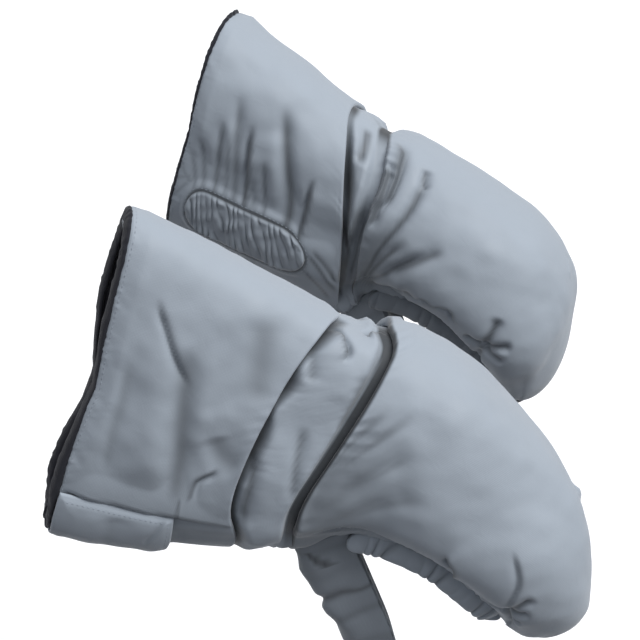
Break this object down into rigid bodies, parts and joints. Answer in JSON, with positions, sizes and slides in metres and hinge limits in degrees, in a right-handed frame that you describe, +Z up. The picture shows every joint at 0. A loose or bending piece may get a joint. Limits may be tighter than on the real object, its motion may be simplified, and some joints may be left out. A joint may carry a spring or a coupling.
{
  "type": "stroller hand muff",
  "caption": "Padded hand muffs for a stroller's handles: flared cuffs, puffed wrists and hoods that bend down over the grips, with fleece lining and slots for the tubes.",
  "frame": {"origin": "the middle of the right mitt's handle slot, on the axis of the handle tube that leaves it", "axes": "+X from the left mitt to the right one, +Y forward, away from the user, +Z up"},
  "size_m": [0.5994, 0.3845, 0.3504],
  "materials": {
    "grey_shell": "matt woven polyester, blue-grey",
    "white_wadding": "soft polyester wadding",
    "black_fleece": "brushed black fleece",
    "black_binding": "padded black fleece edge",
    "hook_and_loop": "hook and loop tape",
    "white_elastic": "woven elastic",
    "grey_snap": "satin plastic snap"
  },
  "bodies": {
    "mitts": {"right_cuff_shell": "grey_shell", "right_wrist_band": "grey_shell", "right_hand_shell": "grey_shell", "right_gather_panel": "grey_shell", "right_outer_rim_casing": "grey_shell", "right_inner_rim_casing": "grey_shell", "right_cuff_wadding": "white_wadding", "right_hand_wadding": "white_wadding", "right_lining": "black_fleece", "right_mouth_binding": "black_binding", "right_cuff_loop_strip": "hook_and_loop", "right_wrist_elastic": "white_elastic", "right_gather_elastic": "white_elastic", "right_outer_rim_elastic": "white_elastic", "right_inner_rim_elastic": "white_elastic", "right_snap_socket": "grey_snap", "right_snap_stud": "grey_snap", "left_cuff_shell": "grey_shell", "left_wrist_band": "grey_shell", "left_hand_shell": "grey_shell", "left_gather_panel": "grey_shell", "left_outer_rim_casing": "grey_shell", "left_inner_rim_casing": "grey_shell", "left_cuff_wadding": "white_wadding", "left_hand_wadding": "white_wadding", "left_lining": "black_fleece", "left_mouth_binding": "black_binding", "left_cuff_loop_strip": "hook_and_loop", "left_wrist_elastic": "white_elastic", "left_gather_elastic": "white_elastic", "left_outer_rim_elastic": "white_elastic", "left_inner_rim_elastic": "white_elastic", "left_snap_socket": "grey_snap", "left_snap_stud": "grey_snap"},
    "right_closure_flap": {"right_closure_flap": "grey_shell", "right_flap_hook_strip": "hook_and_loop"},
    "right_handle_tongue": {"right_handle_tongue": "grey_shell"},
    "left_closure_flap": {"left_closure_flap": "grey_shell", "left_flap_hook_strip": "hook_and_loop"},
    "left_handle_tongue": {"left_handle_tongue": "grey_shell"}
  },
  "joints": [
    {"name": "right_closure_flap_hinge", "type": "hinge", "parent": "mitts", "child": "right_closure_flap", "pos_m": [0.02107, -0.20258, 0.03822], "axis": [-0.1747, 0.9606, -0.2162], "range_deg": [0, 110]},
    {"name": "left_closure_flap_hinge", "type": "hinge", "parent": "mitts", "child": "left_closure_flap", "pos_m": [-0.45378, -0.16409, 0.05152], "axis": [-0.1605, -0.9116, 0.3784], "range_deg": [0, 110]},
    {"name": "right_handle_tongue_hinge", "type": "hinge", "parent": "mitts", "child": "right_handle_tongue", "pos_m": [0.01372, -0.0778, 0.02093], "axis": [-0.9848, -0.1736, 0], "range_deg": [0, 80]},
    {"name": "left_handle_tongue_hinge", "type": "hinge", "parent": "mitts", "child": "left_handle_tongue", "pos_m": [-0.45284, -0.0728, 0.0079], "axis": [-0.9848, 0.1736, 0], "range_deg": [0, 80]}
  ]
}
